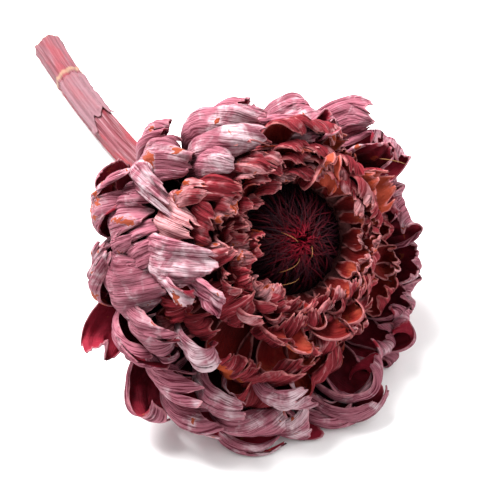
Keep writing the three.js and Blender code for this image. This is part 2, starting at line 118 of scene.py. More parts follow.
class Wire:
    """What comes out of a node of a finish. Sums and products add their Math nodes."""

    def __init__(self, tree, socket=None):
        self.tree = tree
        self.socket = socket

    def node(self, kind, settings=None, sockets=None, out=0):
        """Adds a node: its settings first, then the values or wires of its sockets."""
        made = self.tree.nodes.new(kind)
        for name, value in (settings or {}).items():
            setattr(made, name, value)
        for key, value in (sockets or {}).items():
            if isinstance(value, Wire):
                self.tree.links.new(value.socket, made.inputs[key])
            else:
                made.inputs[key].default_value = value
        return Wire(self.tree, made.outputs[out])

    def math(self, operation, *values):
        return self.node("ShaderNodeMath", {"operation": operation}, dict(enumerate(values)))

    def __add__(self, other):
        return self.math("ADD", self, other)

    __radd__ = __add__

    def __sub__(self, other):
        return self.math("SUBTRACT", self, other)

    def __rsub__(self, other):
        return self.math("SUBTRACT", other, self)

    def __mul__(self, other):
        return self.math("MULTIPLY", self, other)

    __rmul__ = __mul__

    def __abs__(self):
        return self.math("ABSOLUTE", self)

    def at_most(self, limit):
        return self.math("MINIMUM", self, limit)

    def step(self, low, high):
        """0 below low, 1 above high, and smooth between."""
        return self.node(
            "ShaderNodeMapRange",
            {"interpolation_type": "SMOOTHSTEP"},
            {"Value": self, "From Min": low, "From Max": high},
        )

    def mark(self, name):
        """The three numbers that the mesh carries under a name, as one vector."""
        return self.node("ShaderNodeAttribute", {"attribute_name": name}, out="Vector")

    def place(self):
        """Where a point is, in metres."""
        return self.node("ShaderNodeNewGeometry", out="Position")

    def parts(self):
        """The three numbers of a vector."""
        return [self.node("ShaderNodeSeparateXYZ", sockets={0: self}, out=k) for k in range(3)]

    def stretched(self, sizes):
        """A vector with each part multiplied."""
        return self.node("ShaderNodeVectorMath", {"operation": "MULTIPLY"}, {0: self, 1: sizes})

    def grain(self, scale, detail=2.0, rough=0.55, warp=0.0):
        """Uneven spots, 0 to 1, at this scale of the vector."""
        sockets = {"Scale": scale, "Detail": detail, "Roughness": rough, "Distortion": warp}
        return self.node("ShaderNodeTexNoise", sockets={"Vector": self, **sockets})

    def blend(self, a, b):
        """Colour a where this is 0 and colour b where it is 1."""
        return self.node("ShaderNodeMix", {"data_type": "RGBA"}, {0: self, 6: a, 7: b}, out=2)

    def dim(self, tint):
        """A colour made darker, to black where this is 0."""
        return self.node("ShaderNodeVectorMath", {"operation": "SCALE"}, {0: tint, "Scale": self})


def new_finish(name):
    """A new material: its Wire to draw from, and its shader."""
    material = bpy.data.materials.new(name)
    material.use_nodes = True
    shader = material.node_tree.nodes["Principled BSDF"]
    return material, Wire(material.node_tree), shader


def coat(shader, wires, values):
    """Joins wires to the shader's sockets and sets the plain values."""
    for socket, wire in wires.items():
        wire.tree.links.new(wire.socket, shader.inputs[socket])
    for socket, value in values.items():
        shader.inputs[socket].default_value = value


def raised(height, depth, strength):
    """Fine relief, depth in millimetres."""
    return height.node(
        "ShaderNodeBump",
        sockets={"Height": height, "Distance": depth * MM, "Strength": strength},
    )


def make_piece(name, points, faces, marks, uv, finish, node):
    """A mesh piece in the row frame. points in millimetres, faces all with four corners."""
    mesh = bpy.data.meshes.new(name)
    mesh.vertices.add(len(points))
    mesh.vertices.foreach_set("co", (points * MM).astype(np.float32).ravel())
    mesh.loops.add(4 * len(faces))
    mesh.loops.foreach_set("vertex_index", faces.astype(np.int32).ravel())
    mesh.polygons.add(len(faces))
    mesh.polygons.foreach_set("loop_start", np.arange(0, 4 * len(faces), 4, dtype=np.int32))
    mesh.polygons.foreach_set("use_smooth", np.ones(len(faces), dtype=bool))
    mesh.update(calc_edges=True)
    for mark, values in marks.items():
        carried = mesh.attributes.new(mark, "FLOAT_VECTOR", "POINT")
        carried.data.foreach_set("vector", values.astype(np.float32).ravel())
    layer = mesh.uv_layers.new(name="OFBake")
    layer.data.foreach_set("uv", uv.astype(np.float32).ravel())
    mesh.validate()
    mesh.materials.append(finish)
    piece = bpy.data.objects.new(name, mesh)
    bpy.context.scene.collection.objects.link(piece)
    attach(piece, "root")
    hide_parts(node)


def point_marks(shape, **marks):
    """What a finish reads at each point of a grid: three numbers or grids under each name."""
    return {
        name: np.stack([np.broadcast_to(part, shape) for part in parts], axis=-1).reshape(-1, 3)
        for name, parts in marks.items()
    }


def joined(marks):
    """The marks of several grids, one after another."""
    return {name: np.vstack([grid[name] for grid in marks]) for name in marks[0]}


def grid_faces(rows, columns, first=0):
    i, j = np.meshgrid(np.arange(rows - 1), np.arange(columns - 1), indexing="ij")
    a = (first + i * columns + j).ravel()
    return np.stack([a, a + 1, a + columns + 1, a + columns], axis=1)


def grid_uv(rows, columns, margin):
    """The unwrapped corners of a grid's faces on the sheet, inside a margin."""
    v, u = np.meshgrid(
        np.linspace(margin, 1 - margin, rows), np.linspace(margin, 1 - margin, columns), indexing="ij"
    )
    flat = np.stack([u.ravel(), v.ravel()], axis=1)
    return flat[grid_faces(rows, columns)].reshape(-1, 2)


SHEET_MARGIN = 0.01


def turned_grid(rows, columns):
    """The faces and sheet corners of a grid whose outer side is the other one."""
    uv = grid_uv(rows, columns, SHEET_MARGIN).reshape(-1, 4, 2)
    return grid_faces(rows, columns)[:, ::-1], uv[:, ::-1].reshape(-1, 2)


# The stem's middle line from the neck to the cut, measured from the point under the head's
# centre, and its radii at even steps along it.
STEM_LINE = np.array([
    [-16, 25, 17.5],
    [-29, 41.5, 10.8],
    [-43.5, 58, 7.2],
    [-57, 77.5, 5.4],
    [-66.5, 93, 4.9],
    [-76, 110, 4.8],
    [-82, 121.5, 5.0],
])
STEM_RADIUS = [5.4, 5.2, 5.1, 5.0, 4.8, 4.75, 4.85, 5.1]
STEM_SCAR_AT = 0.86
STEM_GRID = (260, 121)
NECK_HEIGHT = -22
CURVE_STEPS = 60
CUT_RINGS = 9
GRAIN_ROUND, GRAIN_ALONG = 5, 0.14


def smooth_line(knots, count):
    """A smooth curve through the knots, cut into even lengths: points and directions."""
    ends = np.vstack([2 * knots[0] - knots[1], knots, 2 * knots[-1] - knots[-2]])
    path = []
    for k in range(len(knots) - 1):
        a, b, c, d = ends[k:k + 4]
        ab, bc, cd = [np.sqrt(np.linalg.norm(q - p)) for p, q in ((a, b), (b, c), (c, d))]
        leave = ((b - a) / ab - (c - a) / (ab + bc) + (c - b) / bc) * bc
        arrive = ((c - b) / bc - (d - b) / (bc + cd) + (d - c) / cd) * bc
        f = np.linspace(0, 1, CURVE_STEPS, endpoint=k == len(knots) - 2)[:, None]
        path.append(
            b * (2 * f**3 - 3 * f**2 + 1) + leave * (f**3 - 2 * f**2 + f)
            + c * (3 * f**2 - 2 * f**3) + arrive * (f**3 - f**2)
        )
    path = np.vstack(path)
    run = np.concatenate([[0], np.cumsum(np.linalg.norm(np.diff(path, axis=0), axis=1))])
    even = np.linspace(0, run[-1], count)
    line = np.stack([np.interp(even, run, path[:, n]) for n in range(3)], axis=-1)
    return line, unit(np.gradient(line, axis=0)), run[-1]


def stem_frame(count):
    """The stem's middle line, the directions to its side and its top, and its length."""
    shift = np.array([HEAD_CENTRE[0], HEAD_CENTRE[1], 0])
    start = [at(0, 0, NECK_HEIGHT + 1.0), at(0, 0, NECK_HEIGHT - 6.0)]
    line, forward, length = smooth_line(np.vstack([start, STEM_LINE + shift]), count)
    side = unit(np.cross(forward, [0, 0, 1.0]))
    return line, side, np.cross(side, forward), length


def stem_radius(t, a):
    """The stem's radius, t along from the neck and a degrees round from its side."""
    base = np.interp(t * 7, np.arange(8), STEM_RADIUS)
    turn = a / 360
    ribs = 0.24 * np.cos(2 * np.pi * (9 * turn + 0.05 * ripple(5 * t, 3)))
    ribs = ribs + 0.12 * np.cos(2 * np.pi * (16 * turn + 0.12 * ripple(4 * t, 8)) + 1.0)
    fine = 0.05 * np.cos(2 * np.pi * (31 * turn + 0.3 * ripple(6 * t, 5)))
    uneven = 0.13 * crumple(10 * t, 3 * np.cos(2 * np.pi * turn) + 3, 6)
    scar = 0.38 * np.exp(-(((t - STEM_SCAR_AT - 0.004 * np.cos(2 * np.pi * turn)) / 0.009) ** 2))
    groove = -0.25 * np.exp(-(((t - STEM_SCAR_AT + 0.02) / 0.006) ** 2))
    flare = 0.35 * smooth(t, 0.965, 1.0)
    return base - 0.15 + ribs + fine + uneven + scar + groove + flare


def stem_finish():
    """Dull rose skin with crimson and pale streaks that run lengthwise."""
    material, wire, shader = new_finish("dried_stem")
    vein = wire.mark("vein")
    along, aged, bare = wire.mark("place").parts()
    streak = vein.stretched((1.0, 0.35, 1.0)).grain(0.9, 4.0, 0.65)
    hair = vein.stretched((1.0, 0.12, 1.0)).grain(3.2, 3.0, 0.6)
    patch = vein.stretched((0.6, 1.4, 1.0)).grain(0.26, 3.0, 0.6)
    tint = streak.step(0.4, 0.6).blend(colour(94, 24, 36), colour(120, 60, 70))
    tint = (hair.step(0.5, 0.64) * 0.6).blend(tint, colour(150, 112, 118))
    tint = ((1 - hair).step(0.54, 0.68) * 0.75).blend(tint, colour(86, 18, 30))
    tint = ((1 - patch).step(0.48, 0.64) * 0.7).blend(tint, colour(134, 34, 44))
    tint = (aged * (patch * 0.9 + streak * 0.7)).blend(tint, colour(126, 94, 102))
    # the tan scar band, and the bare pith at the cut
    scar = 1 - (abs(along - STEM_SCAR_AT) + streak * 0.008).step(0.006, 0.016)
    tint = (scar * 0.7).blend(tint, colour(152, 124, 98))
    pith = hair.step(0.4, 0.6).blend(colour(108, 60, 60), colour(150, 116, 104))
    tint = bare.step(0.3, 0.7).blend(tint, pith)
    relief = streak * 0.6 + hair * 0.8
    coat(
        shader,
        {"Base Color": tint, "Roughness": 0.5 + streak * 0.3, "Normal": raised(relief, 0.35, 0.8)},
        {"Specular IOR Level": 0.35},
    )
    return material


stem_material = stem_finish()


def stem_piece():
    rows, columns = STEM_GRID
    line, side, up, length = stem_frame(rows)
    t = np.linspace(0, 1, rows)[:, None] * np.ones(columns)
    a = np.linspace(0, 360, columns)[None, :] * np.ones((rows, 1))
    radius = stem_radius(t, a)
    torn = 0.9 * crumple(a / 24 + 3, t * 0 + 2, 11) + 0.5 * ripple(a / 9, 4)
    push = smooth(t, 0.985, 1.0) * torn
    turned = np.radians(a)[..., None]
    out = side[:, None] * np.cos(turned) + up[:, None] * np.sin(turned)
    forward = np.cross(up, side)
    points = line[:, None] + out * radius[..., None] + forward[:, None] * push[..., None]
    points[:, -1] = points[:, 0]
    skin_marks = point_marks(
        t.shape,
        vein=(np.radians(a) * GRAIN_ROUND, t * length * GRAIN_ALONG, 0),
        place=(t, 0.35 * smooth(t, 0.8, 0.95), smooth(t, 0.993, 1.0)),
    )
    # the cut: the dried pith has sunk in and stands in rough fibres
    inward = np.linspace(0.93, 0.04, CUT_RINGS)[:, None] * np.ones(columns)
    turn = a[:CUT_RINGS]
    fibres = 0.5 * crumple(turn / 20, 6 * inward, 9) * smooth(1 - inward)
    dip = -1.1 * smooth(1 - inward, 0, 0.35) + fibres
    dip = dip + push[-1] * inward
    cut = line[-1] + out[-1] * (radius[-1] * inward)[..., None] + forward[-1] * dip[..., None]
    cut[:, -1] = cut[:, 0]
    cut_marks = point_marks(turn.shape, vein=(turn / 10, inward * 6, 4), place=(1, 0, 1))
    everything = np.vstack([points.reshape(-1, 3), cut.reshape(-1, 3)])
    everything[:, 2] = np.maximum(everything[:, 2], 0.0)
    faces, uv = turned_grid(rows + CUT_RINGS, columns)
    make_piece(
        "stalk", everything, faces, joined([skin_marks, cut_marks]), uv, stem_material, "stem",
    )


stem_piece()

# Peeled skin of the stem
# A strip of the stem's own skin, split along both sides and torn across near the
# head, where its dried end stands a little off the stalk. It stays joined at the scar.

SKIN_FROM, SKIN_TO = 0.655, 0.845
SKIN_SIDES = (38, 168)
SKIN_THICKNESS = 0.28
SKIN_GRID = (120, 61)
SKIN_LINE = 601
SHEET_INSET = 0.04
EDGE_REACH = 1.05


def closed_sheet(size):
    """Two like grids, an outer and an inner, closed round their edge. Faces and sheet corners."""
    rows, columns = size
    count = rows * columns
    front = grid_faces(rows, columns)
    back = grid_faces(rows, columns, count)[:, ::-1]
    ring = np.concatenate([
        np.arange(columns - 1),
        np.arange(rows - 1) * columns + columns - 1,
        (rows - 1) * columns + np.arange(columns - 1, 0, -1),
        np.arange(rows - 1, 0, -1) * columns,
    ])
    after = np.roll(ring, -1)
    edge = np.stack([ring, ring + count, after + count, after], axis=1)
    v, u = np.meshgrid(np.linspace(0, 1, rows), np.linspace(0, 1, columns), indexing="ij")
    flat = np.stack([u.ravel(), v.ravel()], axis=1)
    inset = SHEET_INSET + (1 - 2 * SHEET_INSET) * flat
    far = 0.5 + (inset - 0.5) * EDGE_REACH
    front_uv = inset[front] * [0.5, 1]
    back_uv = inset[back - count] * [0.5, 1] + [0.5, 0]
    edge_uv = np.stack([inset[ring], far[ring], far[after], inset[after]], axis=1) * [0.5, 1]
    return np.vstack([front, back, edge]), np.vstack([front_uv, back_uv, edge_uv])


def peeled_skin_piece():
    rows, columns = SKIN_GRID
    line, side, up, length = stem_frame(SKIN_LINE)
    v, u = np.meshgrid(np.linspace(0, 1, rows), np.linspace(0, 1, columns), indexing="ij")
    lip = 0.022 * ripple(4.5 * u, 31) + 0.010 * ripple(13 * u, 32) - 0.03 * smooth(u, 0.5, 1)
    t = SKIN_FROM + lip + (SKIN_TO - SKIN_FROM - lip) * v
    ragged = 5 * ripple(9 * v, 33) + 2.5 * ripple(27 * v, 34)
    a = SKIN_SIDES[0] + ragged * (1 - u) + (SKIN_SIDES[1] - SKIN_SIDES[0]) * u + ragged * u * 0.7
    # it stands off most at the torn end, a little at its sides, and not at the scar
    lift = 0.42 + 1.1 * (1 - smooth(v, 0, 0.13)) * (0.6 + 0.4 * ripple(3 * u, 35))
    lift = lift + 0.35 * (smooth(1 - u, 0.86, 1) + smooth(u, 0.86, 1)) * (0.5 + 0.5 * ripple(8 * v, 36))
    lift = lift * (1 - 0.9 * smooth(v, 0.93, 1))
    wrinkle = 0.12 * crumple(5 * u, 14 * v, 37)
    k = t * (SKIN_LINE - 1)
    spine, sides, ups = [
        np.stack([np.interp(k, np.arange(SKIN_LINE), w[:, n]) for n in range(3)], axis=-1)
        for w in (line, side, up)
    ]
    out = sides * np.cos(np.radians(a))[..., None] + ups * np.sin(np.radians(a))[..., None]
    points, marks = [], []
    for depth, bare in ((0.0, 0), (SKIN_THICKNESS, 0.6)):
        radius = stem_radius(t, a) + lift + wrinkle - depth
        points.append((spine + out * radius[..., None]).reshape(-1, 3))
        marks.append(point_marks(
            t.shape,
            vein=(np.radians(a) * GRAIN_ROUND, t * length * GRAIN_ALONG, 2),
            place=(t * 0.9, 0.8, bare),
        ))
    faces, uv = closed_sheet(SKIN_GRID)
    make_piece(
        "stem_peeled_skin", np.vstack(points), faces, joined(marks), uv.reshape(-1, 2),
        stem_material, "stem",
    )


peeled_skin_piece()

# Outer bracts
# Large leathery leaves, mauve and finely veined outside and oxblood inside, torn and
# rolled at the tips as they dried. All grow from the side of the receptacle.

# Each form's columns: how far each half bends from the rib to the margin, in degrees at the
# root and at the tip; the further roll of the half and of its hem; the roll of the lip at
# the tip; the width left at the tip; how late it narrows; and how deeply the tip is torn.
FORMS = {
    form: dict(zip(("cup", "roll", "hem", "lip", "blunt", "taper", "rag"), sizes))
    for form, sizes in {
        "plain": ((34, 48), 30, 80, 60, 0.5, 2.2, 0.18),
        "broad": ((32, 44), 30, 70, 50, 0.5, 2.2, 0.18),
        "spread": ((20, 24), 0, 120, 90, 0.4, 2, 0.03),
        "tube": ((90, 150), 50, 20, 25, 0.75, 3, 0.14),
        "open": ((34, 38), 20, 140, 90, 0.5, 2.2, 0.12),
        "scale": ((30, 35), 20, 30, 10, 0.3, 2, 0.06),
        "petal": ((45, 55), 30, 90, 70, 0.4, 2.2, 0.14),
        "ring": ((30, 40), 20, 70, 40, 0.45, 2, 0.3),
    }.items()
}
ROOT_DEPTH = 1.6
ROOT_WIDTH = 0.42
BELLY_FROM, BELLY_TO = 0.35, 0.75
SPLITS, SPLIT_WIDTH = 3, 0.06
BEND_SLICES = 14
HEM_FROM, HEM_TO = 0.72, 0.96
LIP_FROM, LIP_LENGTH = 0.84, 0.13
# for each kind of crease its height, how many lie across a half, the length between, and a seed
CREASES = ((0.9, 2.6, 9, 56), (0.3, 6, 4.5, 64))
REST_EASE = 1.2
LOOSE = 1.3


def seat_at(seat, share):
    """The radius and height on the receptacle's skin, at a share of the way up a seat."""
    k = np.clip(share, 0, 1) * (len(seat) - 1)
    return [np.interp(k, np.arange(len(seat)), seat[:, n]) for n in range(2)]


def midrib(bract):
    """The four points of the curve down a bract's middle, from root to tip through its belly."""
    azimuth, rise = bract["azimuth"], np.radians(bract["rise"])
    start = at(bract["root"][0] - ROOT_DEPTH, azimuth, bract["root"][1])
    belly = at(bract["belly"][0], azimuth, bract["belly"][1])
    end = at(bract["tip"][0], azimuth + bract["swing"], bract["tip"][1])
    reach = np.linalg.norm(belly - start)
    t = np.clip(reach / (reach + np.linalg.norm(end - belly)), BELLY_FROM, BELLY_TO)
    first = start + (outward(azimuth) * np.cos(rise) + AXIS * np.sin(rise)) * reach / 2
    rest = belly - start * (1 - t) ** 3 - first * 3 * t * (1 - t) ** 2 - end * t**3
    return start, first, rest / (3 * t * t * (1 - t)), end


def curve_at(curve, t):
    """The points and directions of such a curve at t, from 0 to 1."""
    a, b, c, d = curve
    t = t[..., None]
    point = a * (1 - t) ** 3 + b * 3 * t * (1 - t) ** 2 + c * 3 * t * t * (1 - t) + d * t**3
    forward = (b - a) * (1 - t) ** 2 + (c - b) * 2 * t * (1 - t) + (d - c) * t * t
    return point, unit(forward)


def new_bract(**sizes):
    """A bract's sizes, with the length of its midrib."""
    bract = {"twist": 0, "torn": 0.0, "loose": LOOSE, **sizes}
    bract["length"] = np.linalg.norm(np.diff(midrib(bract), axis=0), axis=1).sum()
    return bract


def tear(bract, u):
    """The share of its length that a bract has lost at its ragged tip, at u across."""
    seed, rag = bract["seed"], bract["form"]["rag"]
    lost = 0.03 + 0.1 * np.abs(u) ** 2.4 + 1.1 * rag * (draw(seed, 5) - 0.5) * u
    lost = lost + 0.3 * rag * ripple(1.3 * u + 3 * draw(seed, 6), seed + 50)
    # teeth, whose depth is in millimetres, and a few narrow splits
    lost = lost + (1.4 * ripple(6 * u + seed, 51) + 0.8 * ripple(15 * u + seed, 52)) / bract["length"]
    for k in range(SPLITS):
        where = 1.6 * (draw(seed, k + 61) - 0.5)
        depth = 1.3 * rag * draw(seed, k + 65) ** 2
        lost = lost + depth * np.exp(-np.abs((u - where) / SPLIT_WIDTH) ** 1.4)
    return np.clip(lost, 0.02, 0.6)


def half_width(bract, t, u):
    """Half the width of a bract, t along it, with uneven margins."""
    form, seed = bract["form"], bract["seed"]
    e = np.clip((t - 0.5) / 0.5, 0, 1)
    wide = np.where(
        t < 0.5,
        ROOT_WIDTH + (1 - ROOT_WIDTH) * smooth(t, 0, 0.5),
        form["blunt"] + (1 - form["blunt"]) * np.sqrt(np.maximum(1 - e ** form["taper"], 0)),
    )
    margin = np.sign(u) * 17 + seed * 3.1
    uneven = 0.045 * ripple(5 * t + margin, 53) + 0.03 * ripple(15 * t + margin, 54)
    return bract["half"] * wide * (1 + uneven * smooth(t, 0.2, 0.5))


def bent_across(bract, t, u):
    """How much of the way to u the bend leaves out to the side, and how much it takes down."""
    form, seed = bract["form"], bract["seed"]
    uneven = 1 + 0.7 * np.sign(u) * (draw(seed, 71) - 0.5)
    bend = np.radians(form["cup"][0] + (form["cup"][1] - form["cup"][0]) * t)
    roll = np.radians(form["roll"]) * t * uneven
    hem = np.radians(form["hem"]) * smooth(t, 0.25, 0.7) * (0.25 + 0.75 * draw(seed, 72 + np.sign(u)))
    hem = hem * (1 + 0.5 * ripple(4 * t + np.sign(u), seed + 59))
    x, y = 0, 0
    for k in range(BEND_SLICES):
        s = np.abs(u) * (k + 0.5) / BEND_SLICES
        angle = bend * s + roll * s**4 + hem * smooth(s, HEM_FROM, HEM_TO)
        x = x + np.cos(angle) / BEND_SLICES
        y = y + np.sin(angle) / BEND_SLICES
    return x, y


def folds(bract, t, u):
    """How far a bract stands out from its even bend, in dents, creases and pleats."""
    seed, length = bract["seed"], bract["length"]
    loose = bract["loose"] * smooth(t, 0.15, 0.9)
    wave = 0.6 * t * np.sin(6 * t + 3 * u + seed)
    wave = wave + 0.7 * loose * crumple(1.4 * u + seed, 3.2 * t, 55)
    for height, across, apart, number in CREASES:
        crease = np.abs(crumple(across * u + seed, length * t / apart, number)) - 0.4
        wave = wave + height * loose * crease
    pleats = 2.5 + 2 * draw(seed, 73)
    return wave + 0.3 * loose * np.sin(np.pi * (pleats * u + 0.6 * ripple(3 * t, seed + 57)))


def blade_surface(bract, v, u):
    """The middle surface of a bract, how far along each point lies, and the half width there."""
    seed, length = bract["seed"], bract["length"]
    t = v * (1.05 - tear(bract, u))
    point, forward = curve_at(midrib(bract), t)
    round_it = outward(bract["azimuth"] + bract["swing"] * t + 90)
    side = unit(round_it - forward * np.sum(round_it * forward, axis=-1, keepdims=True))
    outer = np.cross(side, forward)
    turn = np.radians(bract["twist"]) * smooth(t, 0.0, 0.4)[..., None]
    side, outer = side * np.cos(turn) + outer * np.sin(turn), outer * np.cos(turn) - side * np.sin(turn)
    x, y = bent_across(bract, t, u)
    w = half_width(bract, t, u)
    stands = folds(bract, t, u)
    point = point + side * (w * x * u)[..., None] + outer * (stands - w * y * np.abs(u))[..., None]
    # the torn lip rolls inwards, further in some places than in others
    run = np.maximum(t - (LIP_FROM + 0.05 * ripple(1.7 * u + seed, 58)), 0) * length
    curl = np.radians(bract["form"]["lip"]) * (0.3 + 0.9 * draw(seed, 74))
    curl = curl * (1 + 0.6 * ripple(2.3 * u, seed + 60))
    bow = length * LIP_LENGTH / np.maximum(curl, 0.05)
    turned = run / bow
    point = point + forward * (bow * np.sin(turned) - run)[..., None]
    point = point - outer * (bow * (1 - np.cos(turned)))[..., None]
    # what would reach below the surface it lies on bends and rests there
    rest = bract["thickness"] / 2 - 0.1
    z = point[..., 2]
    eased = rest + REST_EASE * np.exp(np.minimum(z - rest - REST_EASE, 0) / REST_EASE)
    point[..., 2] = np.where(z < rest + REST_EASE, eased, z)
    return point, t, w


def bract_marks(bract, t, v, u, w, inside):
    """What the finish reads: where a point is on the bract, and which bract it is."""
    seed, length = bract["seed"], bract["length"]
    return point_marks(
        t.shape,
        vein=(u * w * (1 + 0.25 * t), t * length * 0.07, 3.7 * seed + 11 * inside),
        place=(t, np.minimum((1 - np.abs(u)) * w, (1 - v) * length), inside),
        kind=(bract["tone"], bract["torn"], bract["pale"]),
    )


def in_cell(uv, k, count):
    """Sheet corners moved into cell k of a square of like cells, enough for count forms."""
    across = int(np.ceil(np.sqrt(count)))
    return uv / across + np.array([k % across, k // across]) / across


def bract_group(name, bracts, size, finish, node):
    """One piece from a group of bracts, each a closed sheet that thins to its edges."""
    rows, columns = size
    # closer columns at the margins and closer rows at the tip, where the folds are
    u = np.sin(np.linspace(-1, 1, columns) * 1.25) / np.sin(1.25)
    v = 1 - (1 - np.linspace(0, 1, rows)) ** 1.35
    v, u = np.meshgrid(v, u, indexing="ij")
    faces_one, uv_one = closed_sheet(size)
    points, faces, marks, uv = [], [], [], []
    for n, bract in enumerate(bracts):
        middle, t, w = blade_surface(bract, v, u)
        along, over = np.gradient(middle, axis=0), np.gradient(middle, axis=1)
        normal = unit(np.cross(over, along))
        thin = (1 - 0.45 * smooth(t, 0.4, 1)) * (1 - 0.5 * np.abs(u) ** 6)
        half = (bract["thickness"] / 2 * 0.8 * thin)[..., None]
        for inside, skin in enumerate((middle + normal * half, middle - normal * half)):
            skin[..., 2] = np.maximum(skin[..., 2], 0.0)
            points.append(skin.reshape(-1, 3))
            marks.append(bract_marks(bract, t, v, u, w, inside))
        faces.append(faces_one + 2 * rows * columns * n)
        uv.append(in_cell(uv_one, n, len(bracts)).reshape(-1, 2))
    make_piece(
        name, np.vstack(points), np.vstack(faces), joined(marks), np.vstack(uv), finish, node,
    )


def bract_finish(name, outside, inside, edge, torn, sheen):
    """Dried leaf skin, with painted shade that darkens it towards the roots. outside and inside each
    give a deep, a middle and a pale colour.
    """
    material, wire, shader = new_finish(name)
    vein = wire.mark("vein")
    along, to_edge, within = wire.mark("place").parts()
    tone, rust, pale = wire.mark("kind").parts()
    where = wire.place()
    # veins and hairs that run lengthwise, and larger patches that don't
    hair = vein.stretched((1.0, 0.5, 1.0)).grain(2.4, 3.0, 0.65)
    fibre = vein.stretched((1.0, 0.4, 1.0)).grain(4.0, 2.0, 0.6)
    wash = vein.stretched((0.25, 1.0, 1.0)).grain(0.35, 3.0, 0.6)
    band = vein.grain(0.7, 2.0, 0.6)
    cloud = where.grain(150.0, 3.0, 0.6, 0.4)
    blot = where.grain(420.0, 3.0, 0.6)
    lines = hair * 0.55 + fibre * 0.3 + band * 0.15

    # outside: veined, washed with the deep colour, and bleached in patches
    face = lines.step(0.4, 0.54).blend(outside[0], outside[1])
    face = ((1 - wash).step(0.5, 0.7) * 0.6).blend(face, outside[0])
    bleach = cloud * 1.3 + band * 0.25 + along * 0.3 + pale * 0.45 - 1.2
    face = (bleach.step(0.0, 0.34) * (lines.step(0.42, 0.54) * 0.55 + 0.25)).blend(face, outside[2])
    face = (lines.step(0.55, 0.68) * 0.45).blend(face, outside[2])

    # inside: deep at the root and lighter towards the tip
    back = (along * 0.7 + lines * 0.5 + cloud * 0.5 + tone * 0.5 - 0.75).step(0.0, 0.75)
    back = back.blend(inside[0], inside[1])
    back = ((along * 0.6 + cloud * 0.7 + tone * 0.3).step(0.78, 1.15) * 0.8).blend(back, inside[2])
    tint = within.step(0.3, 0.7).blend(face, back)

    # bare russet spots where the skin has gone, a pale uneven rim, and painted shade: darker towards
    # the roots, where the bracts lie in shadow
    spots = (cloud + rust * 0.1).step(0.68, 0.7) * along.step(0.5, 0.65)
    tint = spots.blend(tint, torn)
    rim = 1 - (to_edge - blot * 2.6).step(-1.5, -0.4)
    rim = rim * (cloud * 1.8 - 0.25)
    tint = rim.at_most(0.8).blend(tint, edge)
    # painted shade: each bract darker towards its root, times that bract's own random tone
    painted_root_shade_and_tone = (along.step(0.05, 0.65) * 0.45 + 0.55) * (0.78 + tone * 0.34)
    relief = hair * 0.5 + fibre * 0.4 + blot * 0.6 + cloud * 1.2
    coat(
        shader,
        {
            "Base Color": painted_root_shade_and_tone.dim(tint),
            "Roughness": 0.5 + blot * 0.3,
            "Normal": raised(relief, 0.7, 0.85),
        },
        {
            "Specular IOR Level": 0.1,
            "Sheen Weight": sheen,
            "Sheen Roughness": 0.5,
            "Sheen Tint": colour(235, 200, 210),
        },
    )
    return material


outer_material = bract_finish(
    "outer_bract_skin",
    (colour(80, 20, 36), colour(158, 92, 107), colour(216, 194, 200)),
    (colour(52, 3, 12), colour(98, 10, 28), colour(140, 30, 48)),
    colour(200, 132, 142),
    colour(150, 66, 44),
    0.04,
)

